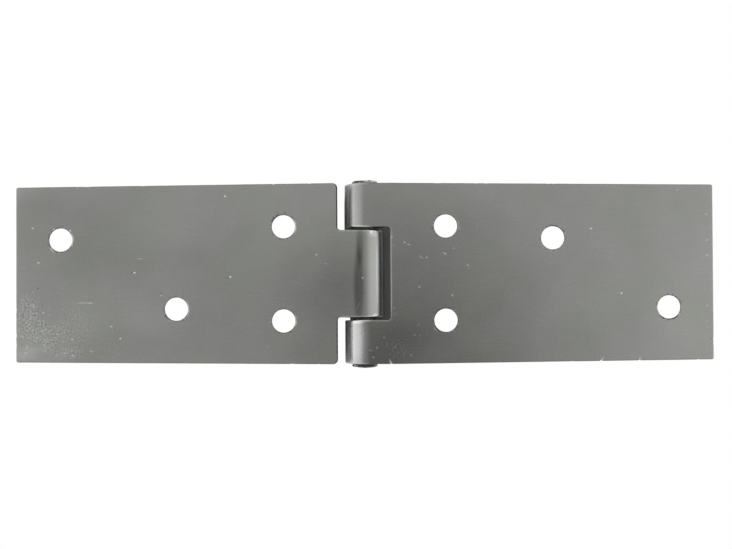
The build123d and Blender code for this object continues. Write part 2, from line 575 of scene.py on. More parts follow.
# Dents and scratches in the outer face, as on the real one: s, y, half length and half width in mm, a turn
# in degrees from the leaf's length, and a strength, which is negative for a dark one. A leaf's s and y run
# from the pin outwards and to its left.
one_knuckle_dents = [
    (92.9, -13.1, 0.12, 0.18, 0, 1.5), (91.3, -3.4, 0.10, 0.16, 0, 1.6), (95.6, -2.2, 0.10, 0.18, 0, 0.5),
    (64.4, -0.5, 0.10, 0.17, 0, 2.0), (65.2, -0.5, 0.12, 0.17, 0, -1.2), (70.9, 14.5, 0.10, 0.17, 0, 1.4),
    (70.7, 15.6, 0.30, 0.14, 90, 0.4), (81.9, 18.1, 0.12, 0.19, 0, 1.4), (82.6, 17.3, 0.12, 0.17, 0, -0.8),
    (39.0, -21.8, 0.10, 0.17, 0, 2.0), (37.6, 0.8, 0.10, 0.17, 0, 2.0), (38.3, 1.1, 0.12, 0.18, 0, -1.3),
    (13.5, -5.3, 0.15, 0.15, 20, 1.15), (10.9, -2.8, 0.20, 0.15, 0, 0.6), (78.6, 7.9, 2.00, 0.11, 0, 0.7),
    (76.6, 8.0, 0.50, 0.15, 0, 0.7), (63.0, -4.4, 0.80, 0.11, 0, 0.8), (0.6, 1.2, 0.08, 0.20, 0, 1.0),
    (1.6, 8.6, 0.55, 0.10, 65, 0.4), (2.1, 9.6, 0.50, 0.10, 70, 0.3), (88.4, 9.4, 0.30, 0.16, 75, 0.5),
    (92.7, 8.7, 0.12, 0.19, 0, 1.2), (94.6, 5.6, 0.30, 0.14, 80, 0.6), (92.8, 4.6, 0.40, 0.12, 60, 0.6),
    (91.3, 3.9, 0.20, 0.20, 45, -1.0), (88.2, 11.2, 0.45, 0.14, 40, 0.6), (94.2, 13.0, 0.20, 0.18, 0, 0.7),
    (89.9, 10.6, 0.10, 0.16, 0, 1.3), (90.0, 8.6, 0.15, 0.17, 0, -0.8), (93.5, 11.7, 0.10, 0.17, 0, 1.0),
    (86.9, 14.6, 0.50, 0.16, -70, 0.5), (91.8, 17.6, 0.30, 0.18, 70, 0.7),
    (81.4, 12.6, 0.60, 0.12, 80, -0.6), (90.4, 15.6, 0.60, 0.16, 20, 0.7),
    (88.0, 15.5, 0.30, 0.15, 30, 0.8), (76.5, 21.5, 0.15, 0.18, 0, 1.0), (81.8, 22.6, 0.12, 0.17, 0, 1.3),
    (84.0, 21.9, 0.14, 0.18, 0, 0.9), (86.4, 22.6, 0.20, 0.16, 80, 0.8), (94.9, 21.8, 0.30, 0.15, 10, 1.15),
    (94.6, 20.2, 0.25, 0.15, 60, 1.1), (79.6, 22.5, 0.20, 0.16, 60, -0.7),
    (92.1, 18.5, 0.20, 0.17, 30, 0.9), (94.1, 13.4, 0.15, 0.18, 0, -0.9), (93.9, 14.9, 0.12, 0.16, 0, 0.8),
    (60.0, -21.0, 0.20, 0.15, 0, 0.4), (82.1, 15.3, 0.15, 0.18, 0, -1.0), (68.4, 17.9, 0.10, 0.16, 0, 1.6),
    (56.9, 5.9, 0.10, 0.15, 0, 1.1), (56.9, 5.3, 0.12, 0.17, 0, -1.2), (49.6, 13.8, 0.16, 0.18, 0, 0.5),
    (27.2, 20.4, 0.10, 0.18, 0, 0.5), (56.4, -16.2, 0.30, 0.13, 10, 0.35),
    (25.35, -15.6, 0.10, 0.16, 0, -1.6), (24.7, -16.3, 0.10, 0.16, 0, -1.4),
    (23.9, -16.75, 0.12, 0.16, 0, -0.9), (22.3, -17.0, 0.10, 0.17, 0, -1.3),
    (22.85, -17.0, 0.08, 0.14, 0, 0.9), (19.0, -14.5, 0.10, 0.18, 0, 0.9),
    (87.6, -7.05, 0.90, 0.13, -48, 1.6), (82.45, -12.35, 0.25, 0.15, -45, 2.0),
    (87.0, -12.7, 0.15, 0.15, 33, 1.8), (55.98, 12.04, 0.80, 0.12, -55, 1.0),
    (18.9, 12.3, 0.30, 0.14, 75, 0.9), (85.6, -13.2, 0.10, 0.15, 0, -1.0),
    (84.5, -13.3, 0.10, 0.15, 0, -0.8), (19.4, 2.4, 1.30, 0.12, -16, 0.3),
    (43.9, 15.1, 1.80, 0.10, 85, 0.22), (44.6, 20.2, 0.80, 0.12, 45, 0.25),
    (67.7, -19.7, 0.50, 0.12, 45, 0.3),
]
two_knuckle_dents = [
    (7.6, 10.2, 0.10, 0.24, 0, 1.0), (8.4, 7.9, 0.30, 0.16, 90, 0.6), (11.2, 8.7, 0.10, 0.18, 0, 1.1),
    (12.3, 8.1, 0.35, 0.13, -25, 0.9), (15.8, 4.5, 0.55, 0.10, -45, 0.7), (17.4, 4.4, 0.10, 0.18, 0, 1.0),
    (22.3, 5.6, 0.30, 0.12, -25, 1.0), (22.6, 5.3, 0.10, 0.15, 0, 0.7), (22.2, 6.1, 0.12, 0.16, 0, -1.0),
    (25.0, 6.9, 0.10, 0.18, 0, 0.7), (28.9, 2.2, 0.30, 0.16, -30, 0.85), (12.0, 8.7, 0.12, 0.17, 0, -1.0),
    (63.4, 12.3, 0.10, 0.16, 0, 1.7), (15.3, -3.8, 0.10, 0.22, 0, 0.8), (24.5, -6.2, 0.20, 0.15, -60, 1.0),
    (13.9, -17.2, 0.12, 0.18, 0, 0.5), (15.3, -17.4, 0.10, 0.15, 0, 0.4),
    (12.9, -22.9, 0.10, 0.18, 0, 0.65), (13.0, -22.2, 0.10, 0.17, 0, -0.8),
    (5.35, -17.9, 0.08, 0.18, 0, 0.6), (8.3, -9.8, 0.16, 0.18, 0, 0.7), (8.5, -11.4, 0.16, 0.18, 0, 0.7),
    (3.4, -20.8, 0.08, 0.16, 0, 0.8), (1.55, -21.5, 0.08, 0.16, 0, 0.7), (2.3, -23.5, 0.08, 0.18, 0, 0.8),
    (-0.6, -16.8, 0.10, 0.24, 0, 0.7), (71.8, -5.85, 0.12, 0.16, 80, 1.8),
    (67.4, -3.1, 0.90, 0.14, 0, 0.35), (31.5, 13.1, 0.12, 0.20, 0, 0.4),
    (6.15, -20.0, 0.50, 0.13, 85, 0.35), (8.2, -20.6, 0.50, 0.16, 50, 0.3),
    (14.9, -14.4, 0.25, 0.15, 60, 0.35), (17.2, -17.0, 0.12, 0.18, 0, 0.2),
    (45.6, 8.2, 0.50, 0.10, 10, 0.3), (54.0, -14.0, 0.60, 0.10, -5, 0.3),
    (-0.4, -23.0, 0.10, 0.20, 0, -0.7), (1.0, -16.6, 0.12, 0.22, 0, -0.6),
    (4.6, -22.0, 0.30, 0.18, 80, -0.6), (7.2, -24.85, 0.40, 0.17, -62, 2.0),
    (66.45, -24.15, 0.45, 0.16, 60, 2.0), (65.6, -24.1, 0.15, 0.22, 80, -0.9),
    (67.2, -24.2, 0.15, 0.22, 80, -0.8), (77.0, -24.0, 0.35, 0.15, 62, 1.5),
    (77.9, -24.2, 0.14, 0.18, 0, -0.6), (93.2, -23.8, 0.14, 0.18, 0, 1.3),
    (93.9, -23.8, 0.14, 0.16, 0, -0.7), (96.6, -18.8, 0.35, 0.16, 10, -0.9),
    (97.0, -19.9, 0.14, 0.22, 0, -0.8), (38.3, -2.2, 0.60, 0.12, 60, 0.3),
    (40.7, -6.4, 0.20, 0.14, 90, 0.3), (54.4, -6.4, 1.20, 0.09, -3, 0.25),
    (54.8, -8.0, 0.90, 0.09, -3, 0.2), (49.5, -13.5, 0.30, 0.12, 30, 0.35),
    (51.6, -17.1, 0.80, 0.10, -10, 0.25), (40.0, -21.3, 0.50, 0.12, 70, 0.25),
    (11.8, 14.4, 0.40, 0.14, -20, 0.25), (26.3, 14.2, 0.35, 0.14, -75, 0.9),
    (26.5, 12.6, 0.30, 0.13, 82, 0.8), (19.7, -15.7, 0.60, 0.13, -50, 0.9),
]

# Nicks in the punched edges: s, y, half width and depth, in mm.
one_knuckle_nicks = [
    (80.4, -24.67, 0.20, 0.10), (77.6, -24.70, 1.20, 0.08), (61.9, -24.86, 0.35, 0.09),
    (97.5, 19.5, 0.5, 0.08), (97.5, 9.7, 0.6, 0.07), (97.5, 16.9, 0.5, 0.10), (20.3, 25.27, 0.6, 0.08),
    (13.1, 25.34, 0.4, 0.07), (42.1, -25.05, 0.20, 0.09), (25.45, -25.22, 0.25, 0.17),
    (15.4, -25.32, 0.25, 0.08),
]
two_knuckle_nicks = [
    (66.1, -24.81, 0.16, 0.55), (76.75, -24.71, 0.17, 0.45), (93.2, -24.54, 0.18, 0.20),
    (97.5, -18.8, 0.30, 0.12), (97.5, -20.0, 0.30, 0.10), (31.2, 25.16, 0.40, 0.05),
    (34.1, 25.13, 0.35, 0.05), (7.35, -25.4, 0.15, 0.25), (20.5, 25.27, 0.5, 0.05),
    (51.6, 24.96, 0.25, 0.13), (7.2, 12.6, 0.4, 0.05), (58.0, -24.9, 0.5, 0.08), (53.0, 24.95, 0.20, 0.10),
]

# How each kind of patch fades and frays: its softness, its raggedness, and the size of the rags in mm.
patch_kinds = {
    "shades": (1.0, 0.35, 9.0), "smears": (0.6, 0.6, 2.5), "pitted": (0.5, 1.3, 5.0),
    "painted_roll_shade": (0.5, 0.2, 3.0), "painted_knuckle_highlights": (0.6, 0.12, 2.0), "painted_rim_glints": (0.3, 0.3, 1.5),
    "painted_rim_shade": (0.3, 0.3, 2.0), "painted_lit_walls": (0.1, 0.0, 4.0), "painted_slot_shade": (0.1, 0.0, 4.0),
}

# The patches of each kind on each leaf: the middle and the size on the flat sheet, in mm, and a strength.
one_knuckle_patches = {
    "shades": [
        ((8, 7), (12, 15), -0.18), ((34, 6), (22, 16), -0.09), ((78, -7), (13, 13), -0.11),
        ((50, 20), (24, 7), -0.05), ((97, 22), (10, 7), 0.13), ((98, -25), (5, 3), 0.13),
        ((4, 2), (7, 12), -0.10), ((88, -14), (8, 9), -0.07), ((11, 23), (7, 4), -0.09),
        ((60, -5), (14, 4), -0.06), ((89, -11), (4, 4), 0.04), ((78, 12.5), (5, 4), 0.07),
        ((60, 13), (6, 3.5), 0.06), ((20, -12), (8, 5), 0.03), ((92, -19), (6, 3), -0.05),
        ((89, -5), (5, 3), 0.04), ((78, 6), (5, 3), 0.04), ((70, 21), (8, 5), -0.05),
        ((29, 16), (8, 6), 0.03),
    ],
    "smears": [
        ((94.8, 22.2), (3.4, 2.0), 0.13), ((92.0, 20.6), (3.0, 1.0), 0.08), ((79.0, 7.9), (3, 0.4), 0.05),
    ],
    "pitted": [
        ((94.4, 12), (3.4, 5.5), 1), ((91, 16), (4.5, 3.2), 0.9), ((88.3, 20), (1.8, 2.2), 0.8),
        ((82.3, 22), (4.4, 1.8), 0.8), ((84.5, 16), (1.6, 3), 0.5), ((83, 7), (7, 5), 0.22),
        ((80, 16), (6, 5), 0.28), ((73, 22), (6, 3), 0.22),
    ],
    # Painted shade: a dark band across the sheet just before the roll.
    "painted_roll_shade": [((1.65, 3.5), (1.35, 10), 0.47), ((1.3, -8.5), (1.0, 5.5), 0.35)],
    # Painted highlights: reflection lines, glints and bright bands along the knuckle.
    "painted_knuckle_highlights": [
        ((-6.05, 0), (0.30, 11), 1.0), ((-3.95, 0), (0.45, 11), 0.6), ((-1.4, 0), (1.4, 11), 0.07),
        ((-2.6, -11.3), (2.0, 0.9), 0.2), ((-1.95, -11.6), (0.3, 0.4), 0.7),
        ((-3.2, 11.7), (0.8, 0.4), 0.45),
    ],
    # Painted glints: on hole rims on the side towards the pin, and along the tongue's edges and its knuckle's
    # ends.
    "painted_rim_glints": [
        ((19.2, -13.2), (0.6, 2.0), 0.45), ((19.2, 13.2), (0.6, 2.0), 0.35),
        ((81.6, -9.75), (0.6, 2.0), 0.5), ((49.2, 9.75), (0.6, 2.0), 0.35),
        ((3.5, -12.2), (4, 1.2), 0.2), ((3.5, 12.2), (4, 1.2), 0.2),
        ((-5.5, -12.2), (5, 1.2), 0.6), ((-5.5, 12.2), (5, 1.2), 0.6),
    ],
    # Painted shade: the rims' dark line made heavier at the shoulders and on parts of some hole rims.
    "painted_rim_shade": [
        ((7.5, -19), (1.5, 7.5), 1.0), ((7.5, 19), (1.5, 7.5), 1.0), ((25.0, -15.5), (1.6, 1.6), 0.9),
        ((25.0, -10.9), (1.6, 1.6), 0.6), ((22.7, 16.4), (2.6, 1.0), 0.7), ((55.4, 11.5), (1.3, 2.0), 0.6),
    ],
    # Painted light on the shoulder walls, and painted shade on the knuckle ends in the slots.
    "painted_lit_walls": [((8.0, -20), (1.3, 7.4), 1), ((8.0, 20), (1.3, 7.4), 1)],
    "painted_slot_shade": [((-8, -12.2), (15.3, 1.2), 1), ((-8, 12.2), (15.3, 1.2), 1)],
}
two_knuckle_patches = {
    "shades": [
        ((8.5, -18), (6, 5), -0.06), ((17, -24), (6, 3.5), 0.08), ((28, 24), (14, 6), 0.07),
        ((46, 11), (9, 7), 0.05), ((59, -18), (6, 5), -0.05), ((92, 18), (8, 8), -0.04),
        ((91, -12), (8, 10), 0.05), ((30, -19), (8, 7), 0.05),
    ],
    "pitted": [((9, -21), (3, 3), 0.7)],
    # Painted highlights: a bright band on the lower outer knuckle, and glints at knuckle ends.
    "painted_knuckle_highlights": [
        ((-2.6, -19), (2.6, 7), 0.42), ((-3.4, 18), (1.2, 8), 0.05), ((-2.1, -13.4), (2.2, 0.6), 0.5),
    ],
    # Painted glints: along the notch's bottom and one of its sides, and along both ends of each outer
    # knuckle.
    "painted_rim_glints": [
        ((7.2, 0), (1.5, 12.2), 0.22), ((-5, 13), (6, 1.2), 0.75), ((-5, -13), (6, 1.2), 0.8),
        ((-5, 25.4), (5.5, 1.4), 0.2), ((-5, -25.4), (5.5, 1.4), 0.2), ((4, -13), (3, 1.0), 0.2),
    ],
    # Painted shade: the rims' dark line made heavier on parts of some hole rims.
    "painted_rim_shade": [
        ((85.1, -12.6), (2.8, 1.2), 1.0), ((20.4, -10.9), (1.5, 1.8), 0.9),
        ((20.8, -15.6), (1.5, 1.3), 0.9), ((52.7, 12.9), (1.8, 0.8), 0.7),
    ],
    # Painted light on the notch's wall, and painted shade on the knuckle ends in the slots.
    "painted_lit_walls": [((7.2, 0), (1.5, 12.2), 1)],
    "painted_slot_shade": [((-8, -13), (15.0, 0.9), 1), ((-8, 13), (15.0, 0.9), 1)],
}

# How each leaf's painted shading lies, as the inputs of its node group: painted shade that deepens towards
# the knuckles and varies across the leaf, and painted light at the outer end.
one_knuckle_shading = {
    "Near loss": 0.05, "Loss across": 0.002, "Reach": 60.0, "Outer loss": 0.06, "Outer gain": 0.03,
}
two_knuckle_shading = {"Near loss": 0.41, "Loss across": -0.009, "Reach": 76.0, "Outer gain": 0.14}

# Where scale is left on the heads: the middle and size of each patch in mm, along the leaf, along the pin and
# upwards. Its fading is a softness, a raggedness and the size of the rags.
head_scale = [
    ((-2.3, 25.9, 8.4), (1.05, 0.32, 2.0)), ((-0.95, 26.15, 8.6), (0.9, 0.36, 1.5)),
    ((1.45, 26.2, 8.3), (0.28, 0.33, 1.2)), ((2.0, 26.1, 3.2), (1.2, 0.5, 1.0)),
    ((-1.2, 26.2, 3.6), (1.0, 0.5, 1.6)), ((0.25, -26.0, 8.4), (3.0, 0.8, 2.6)),
    ((-3.35, -25.8, 7.0), (0.28, 0.5, 2.0)), ((1.3, -26.2, 4.0), (1.1, 0.6, 1.3)),
    ((-1.8, -26.1, 3.4), (0.8, 0.5, 1.0)),
]
head_scale_fading = (0.35, 0.7, 0.8)

# Hammer facets of the two heads: how far each is cut below the top in mm, its lean, and the way it faces, in
# degrees round the pin.
low_head_facets = [(0.0, 0.03, 20), (0.0, 0.13, 100), (0.0, 0.04, 160), (0.02, 0.12, 335), (0.0, 0.12, 215)]
high_head_facets = [(0.03, 0.03, 0), (0.0, 0.12, 60), (0.0, 0.05, 200), (0.02, 0.12, 20), (0.03, 0.10, 290)]

# The way to the dimmest part of the light, and how bright the light is from there to a quarter turn away.
dimmest_way = (0.03, -0.06, 0.998)
light_levels = [
    (0.0, 0.14), (0.06, 0.19), (0.13, 0.32), (0.28, 0.43), (0.47, 0.50), (0.67, 0.55),
    (0.82, 0.68), (1.0, 0.80),
]

# How much farther out than a hole in a leaf the camera sees the floor through it.
seen_through = 1.016


class Nodes:
    """Adds nodes to one tree.

    Inputs are given by socket name or number, as plain values or as other nodes' outputs.
    """

    def __init__(self, tree):
        self.tree = tree
        tree.nodes.clear()

    def give(self, socket, value):
        """Joins an output to an input, or sets a plain value on it."""
        if isinstance(value, bpy.types.NodeSocket):
            self.tree.links.new(value, socket)
        else:
            socket.default_value = value

    def add(self, kind, inputs=None, **settings):
        node = self.tree.nodes.new(kind)
        node.location = (220 * len(self.tree.nodes), 0)
        for name, value in settings.items():
            setattr(node, name, value)
        for socket, value in (inputs or {}).items():
            self.give(node.inputs[socket], value)
        return node

    def math(self, operation, *values, clamp=False):
        inputs = dict(enumerate(values))
        return self.add("ShaderNodeMath", inputs, operation=operation, use_clamp=clamp).outputs[0]

    def product(self, *values):
        """All the values multiplied together."""
        result, *others = values
        for value in others:
            result = self.math("MULTIPLY", result, value)
        return result

    def rest(self, value):
        """What the value leaves of 1."""
        return self.math("SUBTRACT", 1.0, value)

    def span(self, value, low, high, to_low=0.0, to_high=1.0):
        """The value mapped smoothly from one span to another, and held at its ends."""
        inputs = {"Value": value, "From Min": low, "From Max": high, "To Min": to_low, "To Max": to_high}
        return self.add("ShaderNodeMapRange", inputs, interpolation_type="SMOOTHSTEP").outputs[0]

    def fade(self, value, low, high):
        """1 below a span, falling smoothly through it to 0."""
        return self.span(value, low, high, 1.0, 0.0)

    def swing(self, value, low, high, amount):
        """The value mapped smoothly to between minus and plus an amount."""
        return self.span(value, low, high, -amount, amount)

    def vector(self, operation, *values):
        inputs = dict(enumerate(values))
        return self.add("ShaderNodeVectorMath", inputs, operation=operation).outputs[0]

    def length(self, vector):
        return self.add("ShaderNodeVectorMath", {0: vector}, operation="LENGTH").outputs["Value"]

    def scaled(self, vector, factor):
        """A vector or a colour times one number."""
        return self.add("ShaderNodeVectorMath", {0: vector, 3: factor}, operation="SCALE").outputs[0]

    def mix(self, share, one, other):
        """One colour turning into another as the share goes from 0 to 1."""
        node = self.add("ShaderNodeMix", {"Factor": share}, data_type="RGBA")
        for name, colour in (("A", one), ("B", other)):
            socket = next(s for s in node.inputs if s.name == name and s.type == "RGBA")
            self.give(socket, colour if isinstance(colour, bpy.types.NodeSocket) else (*colour, 1))
        return next(s for s in node.outputs if s.type == "RGBA")

    def noise(self, vector, scale, detail=2.0, roughness=0.5):
        inputs = {"Vector": vector, "Scale": scale, "Detail": detail, "Roughness": roughness}
        return self.add("ShaderNodeTexNoise", inputs).outputs["Fac"]

    def attribute(self, name):
        return self.add("ShaderNodeAttribute", attribute_name=name).outputs["Fac"]

    def group(self, build, inputs):
        """The outputs of a node group, which its function makes at its first use."""
        tree = bpy.data.node_groups.get(build.__name__) or build(build.__name__)
        return self.add("ShaderNodeGroup", inputs, node_tree=tree).outputs


def new_material(name):
    """A new material, and the nodes that its look is made of."""
    material = bpy.data.materials.new(name)
    material.use_nodes = True
    return material, Nodes(material.node_tree)


def new_group(name, inputs, outputs):
    """An empty shader node group with its sockets, as (nodes, inputs, output node).

    The inputs are defaults by name, and a default of three numbers makes a vector. The outputs are names.
    """
    tree = bpy.data.node_groups.new(name, "ShaderNodeTree")
    nodes = Nodes(tree)
    for socket, default in inputs.items():
        kind = "NodeSocketVector" if isinstance(default, tuple) else "NodeSocketFloat"
        tree.interface.new_socket(socket, in_out="INPUT", socket_type=kind).default_value = default
    for socket in outputs:
        tree.interface.new_socket(socket, in_out="OUTPUT", socket_type="NodeSocketFloat")
    return nodes, nodes.add("NodeGroupInput").outputs, nodes.add("NodeGroupOutput")


def put_out(nodes, output, values):
    """Joins named values to a group's output node, and hands the group back."""
    for name, value in values.items():
        nodes.give(output.inputs[name], value)
    return nodes.tree


def rolled_grain(name):
    """Group: cloudy tone, fine streaks along the rolling direction, and grain, each from 0 to 1."""
    inputs = {
        "Place": (0, 0, 0), "Cloud size": 20.0, "Streak length": 9.0, "Streak width": 0.35, "Grain size": 0.5,
    }
    nodes, given, out = new_group(name, inputs, ["Clouds", "Streaks", "Grain"])
    place = given["Place"]
    clouds = nodes.noise(place, nodes.math("DIVIDE", 1.0, given["Cloud size"]), 3.0, 0.55)
    along = nodes.math("DIVIDE", 1.0, given["Streak length"])
    across = nodes.math("DIVIDE", 1.0, given["Streak width"])
    stretch = nodes.add("ShaderNodeCombineXYZ", {"X": along, "Y": across, "Z": 0.0}).outputs[0]
    streaks = nodes.noise(nodes.vector("MULTIPLY", place, stretch), 1.0, 3.0, 0.6)
    grain = nodes.noise(place, nodes.math("DIVIDE", 1.0, given["Grain size"]), 2.0, 0.6)
    return put_out(nodes, out, {"Clouds": clouds, "Streaks": streaks, "Grain": grain})


def edge_shade_and_wear(name):
    """Group: the dark line of painted shade along a punched rim, and the paler ring that rubbing leaves
    beside it.
    """
    inputs = {
        "Place": (0, 0, 0), "Rim distance": 2.0, "Dark width": 0.3, "Pale width": 0.9, "Raggedness": 0.4,
    }
    nodes, given, out = new_group(name, inputs, ["Dark", "Pale"])
    ragged = nodes.product(nodes.noise(given["Place"], 1.3, 3.0, 0.65), given["Raggedness"])
    strayed = nodes.math("ADD", given["Rim distance"], nodes.math("SUBTRACT", ragged, 0.2))
    dark = nodes.fade(nodes.math("DIVIDE", strayed, given["Dark width"]), 0.4, 1.2)
    ring = nodes.fade(nodes.math("DIVIDE", strayed, given["Pale width"]), 0.35, 1.0)
    return put_out(nodes, out, {"Dark": dark, "Pale": nodes.product(ring, nodes.rest(dark))})


def soft_patch(name):
    """Group: 1 inside a ragged oval patch, and 0 outside it."""
    inputs = {
        "Place": (0, 0, 0), "Middle": (0, 0, 0), "Size": (10, 10, 1), "Softness": 0.6, "Raggedness": 0.5,
        "Rag size": 4.0,
    }
    nodes, given, out = new_group(name, inputs, ["Patch"])
    off = nodes.vector("SUBTRACT", given["Place"], given["Middle"])
    far = nodes.length(nodes.vector("DIVIDE", off, given["Size"]))
    rag = nodes.noise(given["Place"], nodes.math("DIVIDE", 1.0, given["Rag size"]), 3.0, 0.6)
    rag = nodes.product(nodes.math("SUBTRACT", rag, 0.5), given["Raggedness"])
    low = nodes.rest(given["Softness"])
    high = nodes.math("ADD", 1.0, given["Softness"])
    return put_out(nodes, out, {"Patch": nodes.fade(nodes.math("ADD", far, rag), low, high)})


def painted_shading(name):
    """Group: how much painted shade dims a leaf, more near the knuckles than at the outer end, less the
    painted light that brightens the outer end.
    """
    inputs = {
        "Place": (0, 0, 0), "Near loss": 0.2, "Loss across": 0.0, "Reach": 70.0, "Outer loss": 0.0,
        "Outer gain": 0.0,
    }
    nodes, given, out = new_group(name, inputs, ["Dimming"])
    parts = nodes.add("ShaderNodeSeparateXYZ", {0: given["Place"]}).outputs
    near = nodes.fade(parts["X"], 8.0, given["Reach"])
    loss = nodes.math("MULTIPLY_ADD", parts["Y"], given["Loss across"], given["Near loss"])
    dimming = nodes.math("MULTIPLY_ADD", near, loss, given["Outer loss"])
    outer = nodes.product(nodes.span(parts["X"], 72.0, 97.0), given["Outer gain"])
    return put_out(nodes, out, {"Dimming": nodes.math("SUBTRACT", dimming, outer)})


def patch(nodes, place, middle, size, fading):
    """One soft patch in millimetres. Middle and size are on the flat sheet if they have two numbers."""
    softness, raggedness, rag_size = fading
    inputs = {
        "Place": place, "Middle": (*middle, 0)[:3], "Size": (*size, 1000)[:3], "Softness": softness,
        "Raggedness": raggedness, "Rag size": rag_size,
    }
    return nodes.group(soft_patch, inputs)["Patch"]


def patches_of(nodes, place, patches, kind):
    """All the patches of one kind, each times its strength, added up."""
    total = 0.0
    for middle, size, strength in patches.get(kind, []):
        share = patch(nodes, place, middle, size, patch_kinds[kind])
        total = nodes.math("MULTIPLY_ADD", share, strength, total)
    return total


def leaf_tone(nodes, place, grain, film, marks, off_knuckle):
    """How light the steel is, about 1: clouds, streaks and grain, then shades, smears, the painted shading
    and the painted shade before the roll.
    """
    tone = nodes.math("ADD", nodes.swing(grain["Clouds"], 0.3, 0.7, 0.03), 1.0)
    tone = nodes.math("ADD", tone, nodes.swing(grain["Streaks"], 0.25, 0.75, 0.018))
    tone = nodes.math("ADD", tone, nodes.swing(grain["Grain"], 0.25, 0.75, 0.03))
    tone = nodes.math("ADD", tone, nodes.product(marks["shades"], off_knuckle))
    streaked = nodes.span(grain["Streaks"], 0.3, 0.7, 0.5, 1.5)
    tone = nodes.math("MULTIPLY_ADD", marks["smears"], streaked, tone)
    # Painted shade near the knuckles and painted light at the outer end, both kept off the knuckles.
    oil = nodes.group(painted_shading, {"Place": place, **film})["Dimming"]
    tone = nodes.math("SUBTRACT", tone, nodes.product(oil, off_knuckle))
    # Painted shade: the dark band just before the roll darkens the tone.
    return nodes.product(tone, nodes.rest(marks["painted_roll_shade"]))


def edge_colour(nodes, look, place, colour, marks, rim_distance, dark_line, wall):
    """The colour with its punched edges: painted shade along the rims, chips round the holes, sheared walls
    with painted light and painted shade on some, and painted glints on rims.
    """
    # Painted shade: the rims' dark line, at least 0.3 strong, heavier under its patches and lifted where the
    # rims carry glints.
    line_shade = nodes.product(nodes.math("MAXIMUM", marks["painted_rim_shade"], 0.3), nodes.rest(marks["painted_rim_glints"]))
    colour = nodes.mix(nodes.product(dark_line, line_shade), colour, look.turned)
    chips = nodes.noise(place, 1.5, 3.0, 0.7)
    by_hole = nodes.product(nodes.attribute("by_hole"), nodes.fade(rim_distance, 0.4, 0.9))
    dark_chips = nodes.product(nodes.span(chips, 0.54, 0.62, 0.0, 0.55), by_hole)
    pale_chips = nodes.product(nodes.span(chips, 0.36, 0.44, 0.35, 0.0), by_hole)
    colour = nodes.mix(dark_chips, colour, look.turned)
    colour = nodes.mix(pale_chips, colour, look.rubbed)
    # Painted light on some walls by the knuckles, and painted shade on the knuckle ends in the slots.
    wall_colour = nodes.mix(marks["painted_lit_walls"], look.sheared, look.highlight_and_burnish)
    wall_colour = nodes.mix(marks["painted_slot_shade"], wall_colour, look.turned)
    colour = nodes.mix(wall, colour, wall_colour)
    # Painted glints along the rims.
    painted_rim_glint = nodes.product(nodes.fade(rim_distance, 0.15, 0.6), marks["painted_rim_glints"])
    return nodes.mix(painted_rim_glint, colour, look.highlight_and_burnish)


def dent_colour(nodes, look, colour, dent):
    """The colour with its dents: a dark halo of painted shade, a rubbed middle that turns into a painted
    glint in the strongest ones, and dark dirt in negative ones.
    """
    # Painted shade: a dark halo round each dent.
    halo = nodes.product(nodes.span(dent, 0.04, 0.25), nodes.fade(dent, 0.3, 0.6))
    colour = nodes.mix(nodes.product(halo, 0.18), colour, look.turned)
    struck = nodes.math("MINIMUM", nodes.math("MULTIPLY", dent, 0.6, clamp=True), 0.9)
    colour = nodes.mix(struck, colour, look.rubbed)
    # The strongest dents turn into a painted glint.
    colour = nodes.mix(nodes.span(dent, 1.0, 1.8), colour, look.highlight_and_burnish)
    return nodes.mix(nodes.product(nodes.fade(dent, -0.9, -0.1), 0.5), colour, look.turned)


def put_on_metal(nodes, inputs, height, relief):
    """Ends a material: one metal shader, with a height field as deep as the relief."""
    bump = nodes.add("ShaderNodeBump", {"Height": height, "Strength": 1.0, "Distance": relief}).outputs[0]
    surface = nodes.add("ShaderNodeBsdfPrincipled", {**inputs, "Normal": bump}).outputs[0]
    nodes.add("ShaderNodeOutputMaterial", {"Surface": surface})


